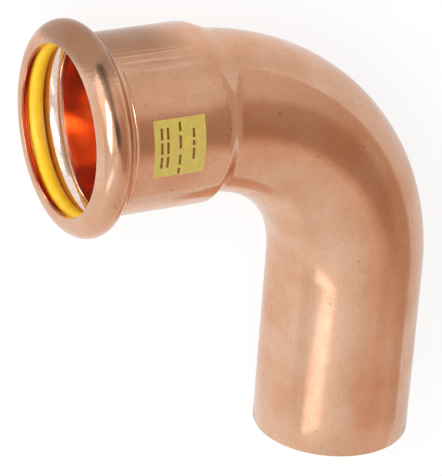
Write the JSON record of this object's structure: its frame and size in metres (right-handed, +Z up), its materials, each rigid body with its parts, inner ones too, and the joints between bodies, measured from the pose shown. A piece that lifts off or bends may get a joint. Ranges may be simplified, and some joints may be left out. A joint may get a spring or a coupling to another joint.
{
  "type": "pipe bend",
  "caption": "90 degree copper pipe bend with a press socket, its rolled bead and rubber seal at one end, and a plain spigot at the other.",
  "frame": {"origin": "on the surface that the bend lies on, under the middle of its bounding box", "axes": "+Z up; -Y along the spigot, out of its cut end; -X is the side that the socket points to, with its axis raised by the rest tilt of 4.70 degrees"},
  "size_m": [0.0728, 0.0846, 0.037],
  "materials": {
    "copper": "bright drawn copper, satin, with faint draw marks",
    "seal_rubber": "smooth moulded rubber, semi-matt"
  },
  "bodies": {
    "root": {"bend_body": "copper", "seal_ring": "seal_rubber"}
  },
  "joints": []
}
